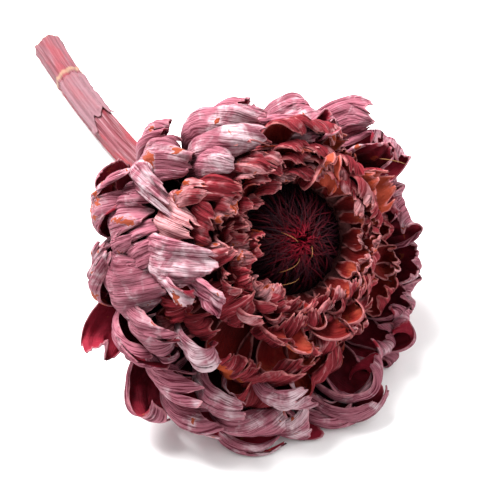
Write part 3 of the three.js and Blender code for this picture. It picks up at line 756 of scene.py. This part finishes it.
# Columns: azimuth; root, from 0 at the neck to 1 at the rim; radius and height of the
# belly; swing of the tip; radius and height of the tip; half width; form; how pale and how
# torn, from 0 to 1; and the twist of the blade.
OUTER = [
    (162, 0.0, 48.3, -14, -9, 53.4, -14, 8.6, "spread", 0.2, 0, 0),
    (171, 0.15, 53.1, -8, -11, 57, 10, 9.2, "plain", 0.4, 0.7, 0),
    (173, 0.3, 51.2, -2, -7, 47.1, 18, 13.8, "broad", 0.4, 0.8, 0),
    (153, 0.35, 48.7, 0, -8, 45.6, 20, 11.5, "broad", 0.4, 0.6, 0),
    (157, 0.6, 52.7, 6, 9, 45.7, 24, 8.6, "tube", 0.65, 0, 0),
    (183, 0.5, 48.6, 2, -7, 45.5, 20, 10.3, "plain", 0.3, 0, 0),
    (185, 0.75, 45.7, 10, 6, 34, 31, 9.8, "broad", 0.7, 0, 0),
    (194, 0.0, 54.3, -12, -13, 57.9, 0, 8, "broad", 0.5, 0.8, 0),
    (190, 0.1, 50.1, -10, -12, 54.8, -3, 10.3, "plain", 0.4, 0.3, 0),
    (195, 0.25, 53, -3, 1, 48.4, 17, 14.9, "broad", 0.35, 0.3, 0),
    (209, 0.4, 50.4, 0, 11, 51.5, 18, 12.1, "plain", 0.4, 0.3, 0),
    (193, 0.85, 43.4, 14, 10, 45.6, 28, 5.8, "plain", 0.7, 0.7, 0),
    (196, 0.95, 38.5, 18, 15, 36.8, 31, 5.5, "plain", 0.5, 0.6, 0),
    (145, 0.1, 46.9, -8, -8, 52.5, 5, 8.6, "open", 0.2, 0.4, 0),
    (138, 0.4, 39.5, 4, -21, 34.6, 26, 11.5, "tube", 0.6, 0.2, 0),
    (131, 0.2, 42.2, -2, -23, 39.5, 16, 10.3, "tube", 0.5, 0.2, 0),
    (116, 0.0, 41.6, -8, -10, 44.3, 2, 9.2, "tube", 0.3, 0, 0),
    (144, 0.8, 40.1, 12, -7, 36.1, 30, 9.2, "tube", 0.75, 0.3, 0),
    (97, 0.2, 33.5, 0, -23, 41.1, 14, 10.3, "plain", 0.5, 0.4, -90),
    (103, 0.4, 31, 5, -21, 32.7, 18, 6.9, "plain", 0.5, 0.4, -140),
    (62, 0.3, 37.2, -2, -8, 42.8, 12, 8, "plain", 0.5, 0.4, -150),
    (222, 0.65, 45.4, 8, 11, 47.5, 22, 8, "plain", 0.8, 0, 0),
    (211, 0.1, 54.6, -8, 12, 58.1, 8, 9.2, "plain", 0.3, 0.3, 0),
    (208, 0.0, 54.6, -14, 6, 65.5, -14, 9.8, "spread", 0.2, 0, 0),
    (230, 0.0, 61.9, -10, 8, 68.4, -6, 9.2, "spread", 0.2, 0, 0),
    (225, 0.4, 55.8, -2, 12, 56.9, 12, 12.6, "tube", 0.4, 0, 0),
    (236, 0.2, 60.3, -4, 12, 63.8, 8, 11.5, "tube", 0.4, 0.3, 0),
    (240, 0.6, 52.1, 4, 10, 57.3, 16, 11.5, "tube", 0.5, 0, 0),
    (240, 0.1, 50.8, -6, 7, 59.2, 5, 10.3, "plain", 0.3, 0, 0),
    (253, 0.2, 58.4, 0, 15, 58.5, 9, 12.6, "tube", 0.5, 0.3, 0),
    (257, 0.0, 63.1, -4, 13, 66.8, 3, 10.3, "tube", 0.6, 0.5, 0),
    (263, 0.75, 48.4, 8, 12, 50.4, 19, 12.6, "tube", 0.7, 0, 0),
    (270, 0.2, 58.7, 0, 10, 60.6, 10, 11.5, "tube", 0.5, 0, 0),
    (282, 0.1, 56.6, 2, 12, 60.3, 9, 10.3, "tube", 0.5, 0.3, 0),
    (286, 0.35, 54.3, 4, 18, 59, 12, 10.3, "tube", 0.5, 0, 0),
    (294, 0.6, 48.4, 3, 18, 51.6, 14, 10.5, "petal", 0.4, 0, 0),
    (322, 0.3, 46.2, -3, 11, 53.6, 9, 11.6, "open", 0.4, 0.2, 0),
    (317, 0.0, 52.6, -8, 6, 59.9, 3, 9.9, "open", 0.3, 0.2, 0),
    (313, 0.5, 46.7, 0, 7, 48.9, 12, 8.8, "open", 0.4, 0, 0),
    (336, 0.1, 45.8, -7, 6, 53.4, 4, 9.9, "open", 0.4, 0.2, 0),
    (330, 0.5, 40.7, 0, 4, 44.5, 12, 8.2, "open", 0.4, 0.2, 0),
    (348, 0.25, 41.4, -3, 5, 45.7, 10, 9.9, "plain", 0.5, 0.3, 0),
    (358, 0.0, 43.9, -8, 4, 49.5, 2, 9.9, "open", 0.3, 0, 0),
    (5, 0.4, 36.8, 0, 6, 43.5, 12, 9.9, "open", 0.4, 0.2, 0),
    (18, 0.2, 38.5, -4, 4, 43.1, 9, 9.9, "open", 0.4, 0.3, 0),
    (17, 0.55, 32.8, 2, 4, 37, 13, 7.7, "open", 0.4, 0.3, 0),
    (29, 0.0, 41, -8, 1, 48.4, 2, 9.9, "open", 0.3, 0, 0),
    (39, 0.35, 36.7, -2, 3, 47.5, 11, 11.6, "open", 0.4, 0.2, 0),
    (44, 0.6, 32.4, 4, 2, 38.9, 15, 8.2, "open", 0.4, 0.3, 0),
    (48, 0.0, 40, -12, 0, 46, -6, 10, "plain", 0.4, 0.1, 0),
    (62, 0.1, 38, -6, 0, 42, 2, 9.5, "plain", 0.4, 0.1, 0),
    (76, 0.0, 38, -11, 4, 43, -6, 10, "plain", 0.3, 0.2, 0),
    (88, 0.2, 35, -4, 0, 38, 6, 9, "plain", 0.5, 0.1, 0),
    (104, 0.0, 39, -11, -3, 43, -6, 10, "plain", 0.4, 0.1, 0),
    (124, 0.05, 40, -9, 4, 44, -2, 10, "plain", 0.3, 0.1, 0),
]
# radius and height of the places where the roots sit, from the neck to the rim
OUTER_SEAT = np.array([[21, -15.8], [26, -10.8], [28.6, -5], [28, 0.2]])
OUTER_THICKNESS = 1.2
OUTER_RISE = 0
OUTER_GRID = (64, 56)
OUTER_GROUPS = {
    "left": (0, 13),
    "top": (13, 21),
    "lower_left": (21, 29),
    "bottom": (29, 35),
    "right": (35, 48),
    "back": (48, 55),
}


def listed(row, index, seat, thickness, rise):
    """A bract from a row of the tables."""
    azimuth, root, belly_r, belly_h, swing, tip_r, tip_h, half, form, pale, torn, twist = row
    return new_bract(
        azimuth=azimuth, swing=swing, half=half, thickness=thickness, rise=rise,
        root=seat_at(seat, root), belly=(belly_r, belly_h), tip=(tip_r, tip_h), form=FORMS[form],
        seed=index + 1, tone=float(draw(index, 81)), pale=pale, torn=torn, twist=twist,
    )


outer_bracts = [
    listed(row, i, OUTER_SEAT, OUTER_THICKNESS, OUTER_RISE) for i, row in enumerate(OUTER)
]
for part, (first, last) in OUTER_GROUPS.items():
    bract_group(
        "bracts_" + part, outer_bracts[first:last], OUTER_GRID, outer_material,
        "outer_bracts",
    )

# Neck scales
# Short stiff scales that sheathe the neck, where the stem widens into the head. They
# are the lowest and oldest leaves, flat on the receptacle.

NECK_SCALES = 9
SCALE_GRID = (40, 28)
SCALE_SEED = 61


def neck_scale(i):
    return new_bract(
        azimuth=i * 360 / NECK_SCALES + 8 * draw(i, 41),
        swing=12 * (draw(i, 42) - 0.5),
        half=7.5 + draw(i, 43),
        thickness=OUTER_THICKNESS,
        rise=OUTER_RISE,
        root=(9, -20.6),
        belly=(19, -20.6),
        tip=(30 + 4 * (draw(i, 44) - 0.5), -18),
        form=FORMS["scale"],
        seed=i + SCALE_SEED,
        tone=float(draw(i, 82)),
        pale=0.2,
    )


bract_group(
    "neck_scales", [neck_scale(i) for i in range(NECK_SCALES)], SCALE_GRID, outer_material,
    "outer_bracts",
)

# Receptacle
# The fleshy base that carries every bract, dried hard. Little of it shows, only dark
# scarred skin between the roots, darkened further by painted shade.

TURNED_ROWS = 60


def turned_piece(name, profile, sides, lump, seed, finish, node):
    """A lumpy form turned about the head's axis, from a profile of radii and heights."""
    profile = np.array(profile, float)
    steps = np.concatenate([[0], np.cumsum(np.linalg.norm(np.diff(profile, axis=0), axis=1))])
    even = np.linspace(0, steps[-1], TURNED_ROWS)
    radius, height = [np.interp(even, steps, profile[:, n]) for n in range(2)]
    turn = np.linspace(0, 360, sides + 1)
    h, a = np.meshgrid(height, turn, indexing="ij")
    r, _ = np.meshgrid(radius, turn, indexing="ij")
    x, y = 5 * np.cos(np.radians(a)), 4 * np.sin(np.radians(a))
    bump = lump * crumple(x + 7, even[:, None] / 4 + y + 9, seed)
    r = np.maximum(r + bump * smooth(r, 0, 6), 0)
    points = at(r, a, h + 0.5 * bump)
    points[:, -1] = points[:, 0]
    # with a bract finish, a quarter along gives these parts the painted shade of the bracts' roots
    marks = point_marks(
        a.shape, vein=(np.radians(a) * 20, h * 0.3, seed), place=(0.25, 0, 1), kind=(0.4, 0, 0)
    )
    faces, uv = turned_grid(TURNED_ROWS, sides + 1)
    make_piece(name, points.reshape(-1, 3), faces, marks, uv, finish, node)


turned_piece(
    "receptacle", [[0.4, -22], [6.5, -22], [21, -17.5], [29, -10], [30.3, 2], [0.4, 2]],
    120, 0.5, 91, outer_material, "outer_bracts",
)

# Inner bracts
# Thinner, papery bracts in rings round the choke, russet to brown inside with pale
# pink edges. They grow from the top of the receptacle and lap like shingles.

inner_material = bract_finish(
    "inner_bract_skin",
    (colour(76, 6, 14), colour(138, 38, 48), colour(206, 154, 158)),
    (colour(80, 6, 8), colour(146, 28, 28), colour(184, 84, 60)),
    colour(220, 138, 138),
    colour(160, 66, 36),
    0.03,
)

# The same columns as the outer bracts, the root now from the disc's edge to the choke.
INNER = [
    (134, 0.1, 30.6, 14, -15, 25.9, 28, 6.3, "petal", 0.6, 0.4, 15),
    (161, 0.0, 38.7, 13, -6, 38.6, 29, 6.9, "petal", 0.7, 0.8, 0),
    (169, 0.0, 42.5, 12, 6, 40.1, 27, 9.2, "petal", 0.95, 0.1, 0),
    (157, 0.3, 33.5, 14, -10, 30.9, 29, 5.8, "petal", 0.3, 0.2, 10),
    (149, 0.3, 30.5, 12, -10, 28.6, 28, 5.8, "petal", 0.4, 0.3, 10),
    (169, 0.2, 32.7, 14, 7, 31.8, 29, 9.2, "petal", 0.4, 0.7, 0),
    (160, 0.4, 28.5, 15, 1, 28.7, 29, 7.5, "petal", 0.3, 0.3, 0),
    (155, 0.6, 25.5, 15, -3, 25.9, 28, 6.3, "petal", 0.4, 0.2, 0),
    (174, 0.5, 24.2, 12, -6, 23.9, 26, 9.2, "open", 0.3, 0.1, 0),
    (183, 0.7, 19.5, 14, -4, 18.4, 26, 5.8, "petal", 0.3, 0.6, 0),
    (188, 0.3, 30.1, 14, -4, 26.5, 28, 5.8, "petal", 0.6, 0.6, 0),
    (193, 0.6, 23, 15, 2, 19.1, 26, 5.2, "petal", 0.5, 0.4, 0),
    (205, 0.2, 41.4, 9, 5, 42.1, 22, 6.9, "petal", 0.3, 0.6, 0),
    (214, 0.0, 44.6, 4, 4, 44.5, 17, 8, "petal", 0.5, 0.4, 0),
    (216, 0.1, 37.8, 10, 6, 38.1, 24, 8, "petal", 0.2, 0.3, 0),
    (237, 0.1, 35.8, 8, 9, 41.3, 23, 9.2, "open", 0.2, 0.6, 0),
    (254, 0.0, 45.3, 2, 7, 51.1, 16, 9.8, "open", 0.3, 0.4, 0),
    (218, 0.3, 30.2, 11, -3, 24.6, 28, 10.9, "petal", 0.2, 0.0, 0),
    (205, 0.6, 24, 15, -1, 22.7, 27, 5.8, "petal", 0.3, 0.5, 0),
    (222, 0.6, 23, 14, -4, 19.2, 26, 7.5, "petal", 0.8, 0.2, 0),
    (235, 0.8, 20.8, 14, -3, 15.9, 24, 6.3, "petal", 0.5, 0.3, 0),
    (254, 0.3, 29.1, 10, 1, 23.9, 26, 9.2, "petal", 0.1, 0.2, 0),
    (261, 0.6, 24.6, 13, 1, 23.2, 25, 6.3, "petal", 0.1, 0.2, 0),
    (252, 0.7, 22, 13, 7, 18.4, 24, 5.8, "petal", 0.2, 0.4, 0),
    (276, 0.6, 25.1, 12, 0, 22.2, 24, 5.8, "petal", 0.2, 0.4, 0),
    (248, 0.0, 39.6, 3, 5, 43.6, 17, 8, "petal", 0.2, 0.4, 0),
    (255, 0.2, 34.2, 7, 12, 40.4, 21, 10.9, "open", 0.3, 0.6, 0),
    (262, 0.3, 32.1, 9, 14, 36.4, 21, 8.6, "open", 0.3, 0.4, 0),
    (283, 0.2, 38.2, 4, 17, 40.8, 17, 12.1, "open", 0.2, 0.2, 0),
    (283, 0.6, 22.7, 11, 14, 18.7, 22, 6.3, "petal", 0.3, 0.2, 0),
    (287, 0.4, 27.4, 10, 10, 25.9, 21, 6.9, "petal", 0.4, 0.2, 0),
    (285, 0.3, 31.3, 9, 6, 32.4, 20, 6.9, "petal", 0.5, 0.2, 0),
    (307, 0.2, 32.6, 6, 2, 35.3, 17, 8, "petal", 0.5, 0.2, 0),
    (313, 0.3, 28.4, 8, 3, 30.4, 18, 7.5, "petal", 0.4, 0.2, 0),
    (333, 0.0, 33.3, 4, 6, 38.8, 13, 10.3, "open", 0.2, 0.2, 0),
    (347, 0.1, 34.6, 5, 0, 37.7, 13, 6.9, "petal", 0.9, 0.1, 0),
    (9, 0.1, 29, 6, 4, 33, 16, 9.2, "open", 0.3, 0.2, 0),
    (11, 0.3, 23.1, 9, 6, 25.9, 19, 8.6, "open", 0.3, 0.5, 0),
    (29, 0.1, 26.3, 8, 1, 35.3, 17, 10.3, "open", 0.3, 0.1, 0),
    (37, 0.3, 23.1, 10, 1, 29.7, 20, 9.2, "open", 0.3, 0.2, 0),
    (71, 0.1, 21.9, 12, 0, 26.9, 21, 6.3, "open", 0.3, 0.3, 0),
    (80, 0.0, 27.7, 8, -13, 33.4, 20, 8, "petal", 0.9, 0.7, 25),
    (110, 0.2, 27.1, 10, -22, 28.3, 23, 7.5, "petal", 0.8, 0.9, 25),
    (55, 0.1, 26.6, 8, 4, 32.9, 17, 6.9, "petal", 0.9, 0.2, 10),
]
INNER_SEAT = np.array([[27.6, 6.2], [26.6, 9.4], [24, 11], [21, 11.4], [18.6, 10.8]])
INNER_THICKNESS = 0.9
INNER_RISE = 30
INNER_SEED = 100
INNER_GRID = (52, 44)
INNER_GROUPS = {"left": (0, 15), "lower": (15, 28), "right": (28, 44)}

# the even rings next to the choke, from the innermost outwards
RINGS = [
    {"count": 22, "root": 1.0, "belly": (19.8, 16), "tip": (18.2, 21.5), "half": 3.6},
    {"count": 20, "root": 0.75, "belly": (23.4, 17.5), "tip": (21.8, 23.5), "half": 4.4},
    {"count": 18, "root": 0.5, "belly": (27.2, 18), "tip": (25.8, 25), "half": 5.2},
    {"count": 16, "root": 0.2, "belly": (32, 15.5), "tip": (31, 25), "half": 6},
]
RING_RISE = 75
RING_LOOSE = 0.6
RING_GRID = (44, 34)
ROOM = 4
ROOM_FROM = 25


def ring_bract(ring, k, i):
    """One bract of an even ring, with small differences between neighbours."""
    azimuth = (i + 0.5 * (k % 2) + 0.3 * draw(i, k)) * 360 / ring["count"]
    c, s = np.cos(np.radians(azimuth)), np.sin(np.radians(azimuth))
    # the rings are pressed in and lower on the right, and open out towards the front
    right, left = max(c, 0), max(-c, 0)
    press = 1 - 0.065 * k * right
    opening = max(-s, 0) * max(0.2, 1 - abs(c))
    spread = 0.16 * opening if k > 1 else 0
    drop = 6 * opening if k > 0 else 0
    lap = 0.9 * (i % 2)
    tip_radius = ring["tip"][0] * press * (1 + spread) + draw(i, k + 3) + lap + 0.6 * k * left
    tip_height = ring["tip"][1] - drop - 1.8 * k * right + 1.5 * k * left
    return new_bract(
        azimuth=azimuth,
        swing=-16 * s + 10 * (draw(i, k + 9) - 0.5),
        half=ring["half"] * (0.85 + 0.3 * draw(i, k + 11)),
        thickness=INNER_THICKNESS,
        rise=RING_RISE,
        root=seat_at(INNER_SEAT, ring["root"]),
        belly=(ring["belly"][0] * press + lap, ring["belly"][1] - k * right),
        tip=(tip_radius, tip_height + 3 * (draw(i, k + 7) - 0.5)),
        form=FORMS["ring"],
        seed=i * 7 + k,
        tone=float(draw(i, k + 83)),
        pale=float(0.2 + 0.6 * draw(i, k + 84)),
        torn=float(draw(i, k + 85)) ** 2,
        loose=RING_LOOSE,
    )


def crowded(bract):
    """True in the outermost ring within a few degrees of a large bract, which needs the room."""
    turns = [abs((bract["azimuth"] - row[0] + 180) % 360 - 180) for row in INNER]
    return bract["root"][0] >= ROOM_FROM and min(turns) < ROOM


inner_bracts = [
    listed(row, i + INNER_SEED, INNER_SEAT, INNER_THICKNESS, INNER_RISE) for i, row in enumerate(INNER)
]
for part, (first, last) in INNER_GROUPS.items():
    bract_group(
        "bracts_inner_" + part, inner_bracts[first:last], INNER_GRID, inner_material,
        "inner_bracts",
    )
for k, ring in enumerate(RINGS):
    ring_bracts = [ring_bract(ring, k, i) for i in range(ring["count"])]
    bract_group(
        "bracts_ring_%d" % (k + 1), [b for b in ring_bracts if not crowded(b)], RING_GRID,
        inner_material, "inner_bracts",
    )
turned_piece(
    "disc",
    [[0.4, 2.3], [28.5, 2.3], [28.5, 7.5], [22, 13], [18.6, 12], [17.0, 6.4], [0.4, 6.4]],
    120, 0.4, 92, inner_material, "inner_bracts",
)

# Florets
# The choke: a dense tuft of slim dark purple florets on the receptacle's bed, bent
# over to the middle, with paler crimson ones at the heart.

FLORETS = 520
FLORET_BED = 16.6
FLORET_TURN = 137.508
THREAD_ROWS, THREAD_SIDES = 11, 5
THREAD_END = 0.01
THREAD_MARGIN = 0.08


def floret_finish(name, dark, light):
    """Dry thread skin, darker at the root and lighter on the paler threads."""
    material, wire, shader = new_finish(name)
    along, _, _ = wire.mark("place").parts()
    tone, _, _ = wire.mark("kind").parts()
    spots = wire.mark("vein").grain(0.8, 2.0)
    tint = (along * 0.3 + tone * 0.9 + spots * 0.3 - 0.3).step(0.0, 1.0).blend(dark, light)
    coat(
        shader,
        {"Base Color": tint, "Roughness": 0.42 + spots * 0.25, "Normal": raised(spots, 0.1, 0.5)},
        {"Specular IOR Level": 0.22},
    )
    return material


def floret_curves():
    """The curve of each floret from root to tip, its thickness and its tone."""
    for i in range(FLORETS):
        # evenly over the domed bed, each turned from the last by the same angle
        foot = FLORET_BED * np.sqrt((i + 0.5) / FLORETS)
        azimuth = i * FLORET_TURN
        share = foot / FLORET_BED
        foot_at = at(foot, azimuth, 10.6 - 2.6 * share**2)
        turn = 70 * (draw(i, 5) - 0.5)
        reach = (0.15 + 0.4 * draw(i, 3)) * foot + 1.5 * draw(i, 10)
        tip_at = at(reach, azimuth + turn, 18.6 - 4.2 * draw(i, 2) - 1.5 * reach / FLORET_BED)
        rise = AXIS * (4.5 + 3.0 * draw(i, 6))
        sway = outward(azimuth + 90) * 2.2 * (draw(i, 7) - 0.5)
        bend = foot_at * 0.35 + tip_at * 0.65 + rise * 0.35 + sway
        thick = 0.24 + 0.12 * draw(i, 8)
        tone = float(0.35 * draw(i, 9) + 0.8 * smooth(1 - share, 0.3, 0.75))
        yield (foot_at, foot_at + rise, bend, tip_at), thick, tone


def threads_piece(name, curves, finish, node):
    """Slim tapered threads, one closed tube for each curve."""
    rows, columns = THREAD_ROWS, THREAD_SIDES + 1
    t, n = np.meshgrid(np.linspace(0, 1, rows), np.arange(columns), indexing="ij")
    a = 2 * np.pi * n / THREAD_SIDES
    curves = list(curves)
    points, faces, marks, uv = [], [], [], []
    for k, (curve, thick, tone) in enumerate(curves):
        spine, forward = curve_at(curve, t)
        side = unit(np.cross(forward, AXIS + 0.01))
        other = np.cross(forward, side)
        r = thick * (1 - 0.85 * t**1.5)
        r[0], r[-1] = THREAD_END, THREAD_END
        skin = spine + side * (r * np.cos(a))[..., None] + other * (r * np.sin(a))[..., None]
        skin[:, -1] = skin[:, 0]
        points.append(skin.reshape(-1, 3))
        faces.append(grid_faces(rows, columns, rows * columns * k))
        marks.append(point_marks(t.shape, vein=(n * 0.5, t * 6, k), place=(t, 0, 0), kind=(tone, 0, 0)))
        uv.append(in_cell(grid_uv(rows, columns, THREAD_MARGIN), k, len(curves)))
    make_piece(
        name, np.vstack(points), np.vstack(faces), joined(marks), np.vstack(uv), finish, node,
    )


floret_material = floret_finish("floret_skin", colour(30, 5, 18), colour(156, 14, 42))
floret_bed_material = floret_finish("floret_bed_skin", colour(16, 2, 6), colour(40, 5, 14))
threads_piece("floret_tuft", floret_curves(), floret_material, "florets")
turned_piece(
    "floret_bed", [[0.4, 6.7], [16.8, 6.7], [16.6, 8.6], [9, 10.8], [0.3, 11.6]],
    90, 0.3, 93, floret_bed_material, "florets",
)

# Golden threads
# A few dry, straw coloured styles that have come loose. Four lie across the florets
# and one on the bracts at the upper right.

# from and to: radius, azimuth and height of each end
GOLDEN = [
    ((7.5, 160, 19.5), (2.5, 190, 20.5)),
    ((12.0, 232, 18.0), (5.0, 250, 20.0)),
    ((15.5, 238, 19.0), (11.0, 262, 19.0)),
    ((3.0, 330, 20.5), (5.5, 290, 19.8)),
    ((34.0, 45, 22.0), (41.0, 32, 20.0)),
]
GOLDEN_THICKNESS = 0.11
GOLDEN_TONE = 0.6


def golden_curves():
    for k, (start, end) in enumerate(GOLDEN):
        a, b = at(*start), at(*end)
        bow = AXIS * (1.0 + draw(k, 94)) + outward(start[1] + 90) * (draw(k, 95) - 0.5) * 3
        curve = (a - AXIS * 1.5, a * 0.6 + b * 0.4 + bow, a * 0.3 + b * 0.7 + bow, b)
        yield curve, GOLDEN_THICKNESS, GOLDEN_TONE


golden_material = floret_finish("golden_thread_skin", colour(120, 70, 40), colour(190, 140, 84))
threads_piece("golden_threads", golden_curves(), golden_material, "florets")

# Floor
# A plain sheet of white paper, far larger than the head. The lowest bracts and the
# cut end of the stem rest on it.

FLOOR_REACH = 1500.0


def floor_sheet():
    reach = FLOOR_REACH * MM
    mesh = bpy.data.meshes.new("floor")
    corners = [(-reach, -reach, 0), (reach, -reach, 0), (reach, reach, 0), (-reach, reach, 0)]
    mesh.from_pydata(corners, [], [(0, 1, 2, 3)])
    material, wire, shader = new_finish("white_paper")
    tint = wire.place().grain(900.0).blend(colour(250, 250, 250), colour(253, 253, 253))
    coat(shader, {"Base Color": tint}, {"Roughness": 0.9, "Specular IOR Level": 0.1})
    mesh.materials.append(material)
    floor = bpy.data.objects.new("floor", mesh)
    bpy.context.scene.collection.objects.link(floor)


floor_sheet()

# Light
# Soft studio light: a large one above and behind on the left, a wide weak one from the
# right, and an even white surround.

LIGHT_AIM = (10, -20, 30)
SURROUND = 0.57


def soft_light(name, place, size, power):
    data = bpy.data.lights.new(name, "AREA")
    data.size = size
    data.energy = power
    lamp = bpy.data.objects.new(name, data)
    lamp.location = [c * MM for c in place]
    direction = (np.array(LIGHT_AIM) - np.array(place)).tolist()
    lamp.rotation_mode = "QUATERNION"
    lamp.rotation_quaternion = Vector(direction).to_track_quat("-Z", "Y")
    bpy.context.scene.collection.objects.link(lamp)


soft_light("key", (-300, 235, 700), 0.42, 18.5)
soft_light("right", (560, 100, 500), 0.8, 4.0)
world = bpy.data.worlds.new("surround")
world.use_nodes = True
world.node_tree.nodes["Background"].inputs["Color"].default_value = (1, 1, 1, 1)
world.node_tree.nodes["Background"].inputs["Strength"].default_value = SURROUND
bpy.context.scene.world = world
bpy.context.scene.view_settings.view_transform = "Standard"

# Camera
# A long lens that looks down at the open head from the front, 50 degrees above the
# surface.

camera_data = bpy.data.cameras.new("camera")
camera_data.lens = 119.8
camera_data.sensor_width = 36.0
camera_data.clip_start, camera_data.clip_end = 0.01, 20.0
camera = bpy.data.objects.new("camera", camera_data)
camera.location = (0.010906, -0.3615, 0.4241)
camera.rotation_euler = (np.radians(40), 0, 0)
bpy.context.scene.collection.objects.link(camera)
bpy.context.scene.camera = camera
